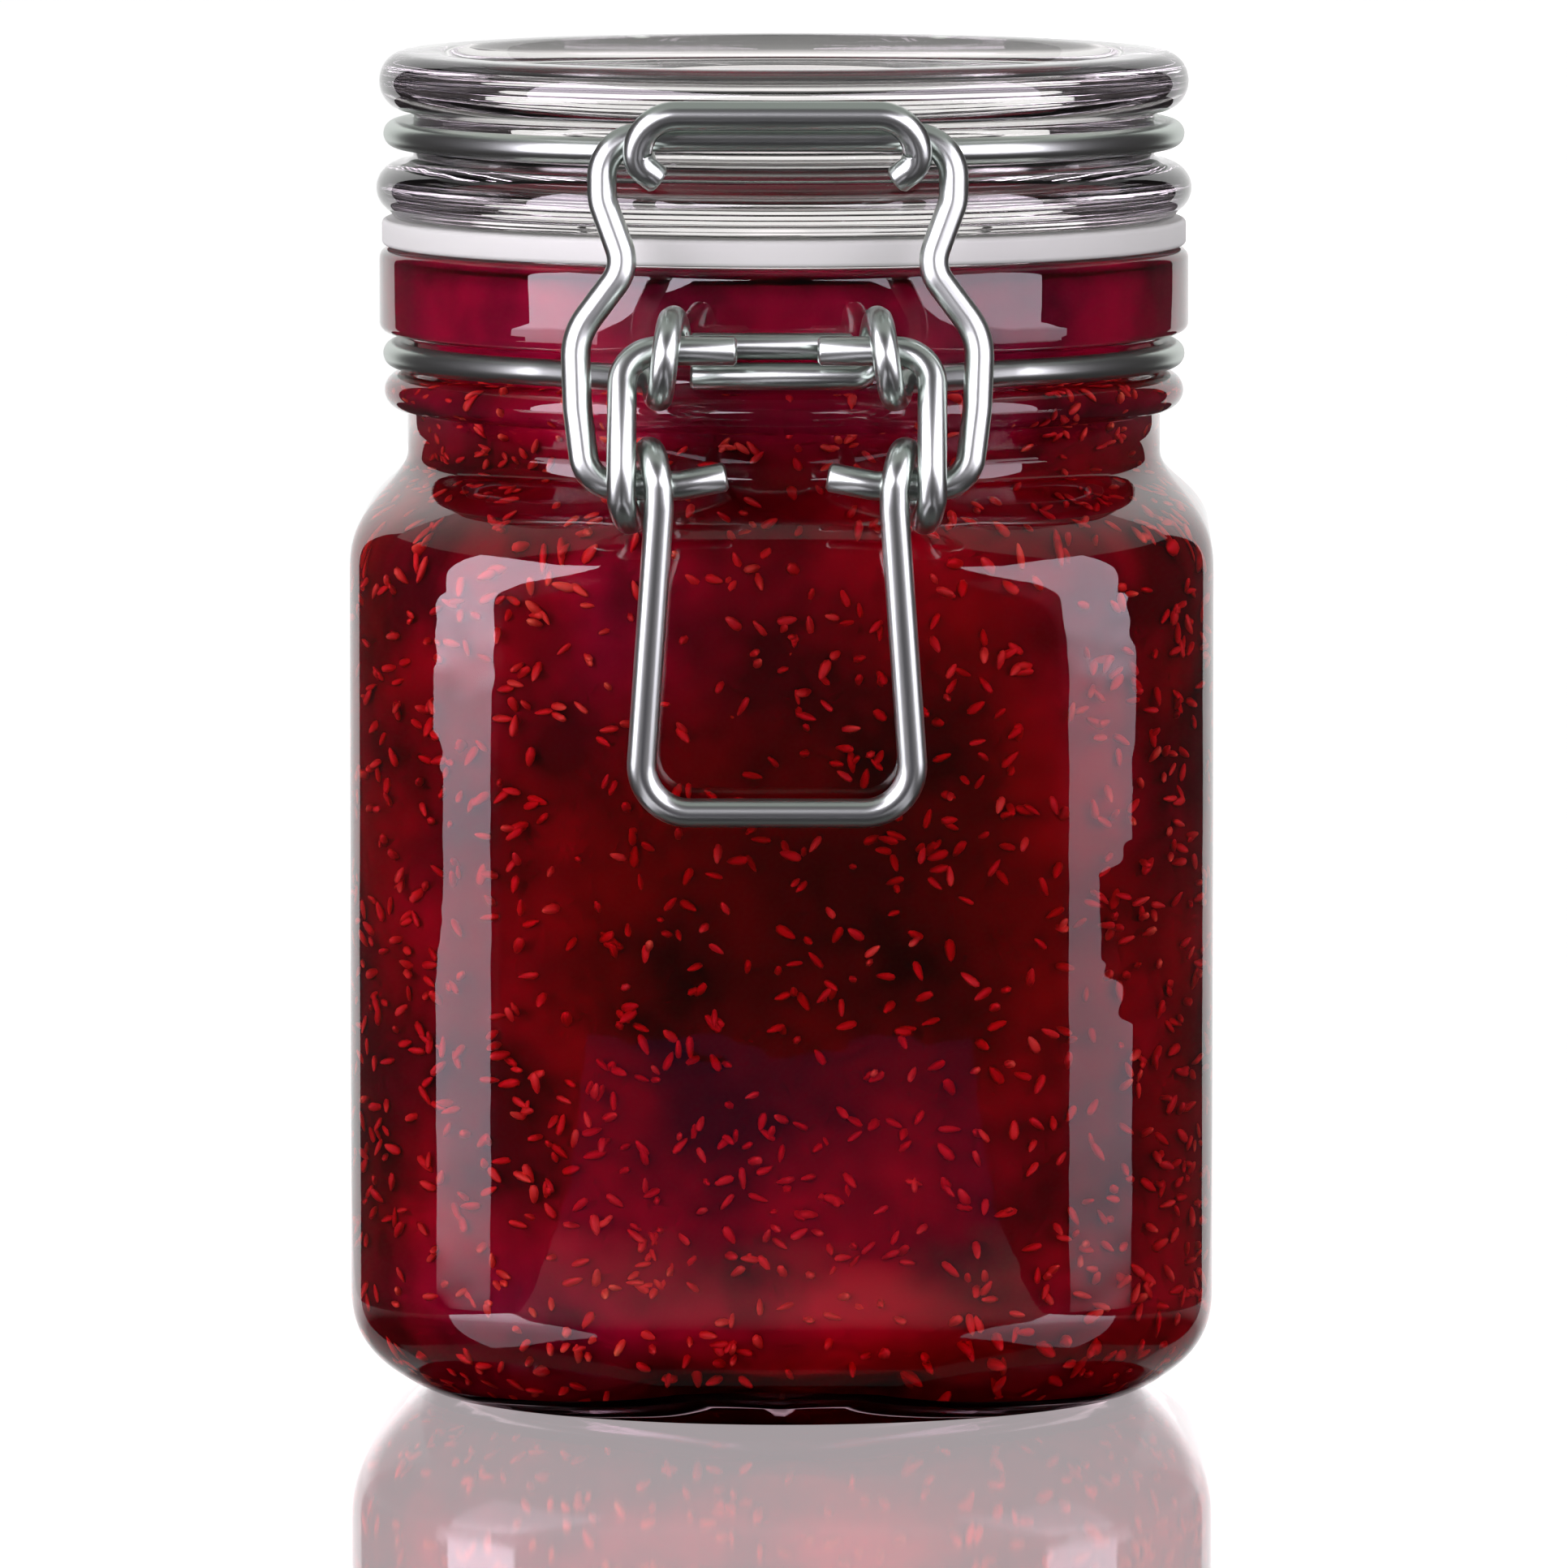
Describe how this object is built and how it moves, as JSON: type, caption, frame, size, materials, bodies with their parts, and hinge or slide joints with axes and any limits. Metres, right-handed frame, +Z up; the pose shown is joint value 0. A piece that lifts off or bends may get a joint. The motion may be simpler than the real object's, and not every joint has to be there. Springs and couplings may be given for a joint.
{
  "type": "clip top jar",
  "caption": "Squared glass preserving jar of dark berry jam, shut by a glass lid on a pale rubber ring and a sprung wire clip closure with a front lever.",
  "frame": {"origin": "middle of the jar's foot, on the surface that it stands on", "axes": "+Z up, the lever and the catch on the -Y side, the lid's hinge on the +Y side, +X to the right as seen from the lever"},
  "size_m": [0.098, 0.1188, 0.1528],
  "materials": {
    "clear_glass": "fire polished pressed glass",
    "pale_rubber": "matt moulded rubber",
    "berry_jam": "wet translucent set jam with seeds",
    "bright_wire": "bright drawn steel wire"
  },
  "bodies": {
    "jar": {"jar_glass": "clear_glass", "jam": "berry_jam", "neck_wire": "bright_wire"},
    "lid": {"lid_glass": "clear_glass", "gasket": "pale_rubber", "lid_wire": "bright_wire", "catch": "bright_wire"},
    "lever": {"lever": "bright_wire"},
    "bail": {"bail": "bright_wire"}
  },
  "joints": [
    {"name": "lid_hinge", "type": "hinge", "parent": "jar", "child": "lid", "pos_m": [0, 0.0535, 0.12195], "axis": [-1, 0, 0], "range_deg": [0, 165]},
    {"name": "lever_pivot", "type": "hinge", "parent": "jar", "child": "lever", "pos_m": [0, -0.0525, 0.12195], "axis": [-1, 0, 0], "range_deg": [0, 64]},
    {"name": "bail_pivot", "type": "hinge", "parent": "lever", "child": "bail", "pos_m": [0, -0.054, 0.107], "axis": [-1, 0, 0], "range_deg": [-44, 0]}
  ],
  "couplings": [
    {"joint": "bail_pivot", "follows": "lever_pivot", "ratio": -0.68}
  ]
}
